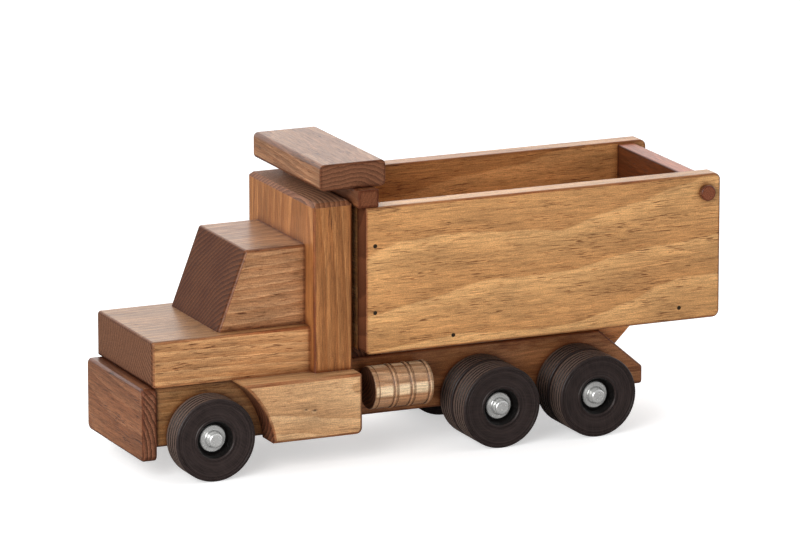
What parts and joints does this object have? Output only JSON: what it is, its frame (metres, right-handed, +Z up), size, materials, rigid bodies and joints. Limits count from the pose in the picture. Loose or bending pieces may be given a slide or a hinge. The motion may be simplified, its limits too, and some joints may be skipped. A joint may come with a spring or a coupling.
{
  "type": "toy dump truck",
  "caption": "Wooden toy dump truck: tipping bed with cab protector and hanging tailgate, turned wheels on steel axles, cab, bonnet, steps and fuel tanks.",
  "frame": {"origin": "on the ground, at the middle of the truck's length and width", "axes": "+X is the truck's front, +Y its left side, +Z up"},
  "size_m": [0.389, 0.1284, 0.1905],
  "materials": {
    "bed_wood": "oiled pine, satin varnish",
    "walnut_wood": "stained, satin varnish",
    "sleeper_wood": "oiled, satin varnish",
    "step_wood": "oiled, satin varnish",
    "chassis_wood": "oiled, satin varnish",
    "tank_wood": "turned, gloss varnish",
    "dowel_wood": "plain",
    "peg_wood": "stained, satin varnish",
    "wheel_wood": "dark stained and waxed",
    "axle_steel": "plain",
    "cap_steel": "bright",
    "nail_steel": "dark"
  },
  "bodies": {
    "chassis": {"chassis_block": "chassis_wood", "left_rail": "chassis_wood", "right_rail": "chassis_wood", "rail_dowels": "dowel_wood", "bed_rest": "chassis_wood", "hinge_pin": "dowel_wood", "front_bumper": "walnut_wood", "hood": "walnut_wood", "cab": "walnut_wood", "sleeper": "sleeper_wood", "left_step": "step_wood", "right_step": "step_wood", "left_fuel_tank": "tank_wood", "right_fuel_tank": "tank_wood", "front_axle": "axle_steel", "mid_axle": "axle_steel", "rear_axle": "axle_steel", "axle_caps": "cap_steel", "wheel_washers": "cap_steel"},
    "bed": {"bed_floor": "bed_wood", "bed_left_side": "bed_wood", "bed_right_side": "bed_wood", "headboard": "bed_wood", "bed_nails": "nail_steel", "canopy_riser": "walnut_wood", "canopy": "walnut_wood", "hinge_block": "chassis_wood"},
    "tailgate": {"tailgate": "bed_wood", "tailgate_pegs": "peg_wood"},
    "front_left_wheel": {"front_left_wheel": "wheel_wood"},
    "front_right_wheel": {"front_right_wheel": "wheel_wood"},
    "mid_left_inner_wheel": {"mid_left_inner_wheel": "wheel_wood"},
    "mid_left_outer_wheel": {"mid_left_outer_wheel": "wheel_wood"},
    "mid_right_inner_wheel": {"mid_right_inner_wheel": "wheel_wood"},
    "mid_right_outer_wheel": {"mid_right_outer_wheel": "wheel_wood"},
    "rear_left_inner_wheel": {"rear_left_inner_wheel": "wheel_wood"},
    "rear_left_outer_wheel": {"rear_left_outer_wheel": "wheel_wood"},
    "rear_right_inner_wheel": {"rear_right_inner_wheel": "wheel_wood"},
    "rear_right_outer_wheel": {"rear_right_outer_wheel": "wheel_wood"}
  },
  "joints": [
    {"name": "bed_tilt", "type": "hinge", "parent": "chassis", "child": "bed", "pos_m": [-0.1255, 0, 0.0392], "axis": [0, -1, 0], "range_deg": [0, 45]},
    {"name": "tailgate_swing", "type": "hinge", "parent": "bed", "child": "tailgate", "pos_m": [-0.1842, 0, 0.1507], "axis": [0, 1, 0], "range_deg": [0, 90]},
    {"name": "front_left_spin", "type": "hinge", "parent": "chassis", "child": "front_left_wheel", "pos_m": [0.1525, 0, 0.0263], "axis": [0, 1, 0], "continuous": true},
    {"name": "front_right_spin", "type": "hinge", "parent": "chassis", "child": "front_right_wheel", "pos_m": [0.1525, 0, 0.0263], "axis": [0, 1, 0], "continuous": true},
    {"name": "mid_left_inner_spin", "type": "hinge", "parent": "chassis", "child": "mid_left_inner_wheel", "pos_m": [-0.0414, 0, 0.0263], "axis": [0, 1, 0], "continuous": true},
    {"name": "mid_left_outer_spin", "type": "hinge", "parent": "chassis", "child": "mid_left_outer_wheel", "pos_m": [-0.0414, 0, 0.0263], "axis": [0, 1, 0], "continuous": true},
    {"name": "mid_right_inner_spin", "type": "hinge", "parent": "chassis", "child": "mid_right_inner_wheel", "pos_m": [-0.0414, 0, 0.0263], "axis": [0, 1, 0], "continuous": true},
    {"name": "mid_right_outer_spin", "type": "hinge", "parent": "chassis", "child": "mid_right_outer_wheel", "pos_m": [-0.0414, 0, 0.0263], "axis": [0, 1, 0], "continuous": true},
    {"name": "rear_left_inner_spin", "type": "hinge", "parent": "chassis", "child": "rear_left_inner_wheel", "pos_m": [-0.1083, 0, 0.0263], "axis": [0, 1, 0], "continuous": true},
    {"name": "rear_left_outer_spin", "type": "hinge", "parent": "chassis", "child": "rear_left_outer_wheel", "pos_m": [-0.1083, 0, 0.0263], "axis": [0, 1, 0], "continuous": true},
    {"name": "rear_right_inner_spin", "type": "hinge", "parent": "chassis", "child": "rear_right_inner_wheel", "pos_m": [-0.1083, 0, 0.0263], "axis": [0, 1, 0], "continuous": true},
    {"name": "rear_right_outer_spin", "type": "hinge", "parent": "chassis", "child": "rear_right_outer_wheel", "pos_m": [-0.1083, 0, 0.0263], "axis": [0, 1, 0], "continuous": true}
  ]
}
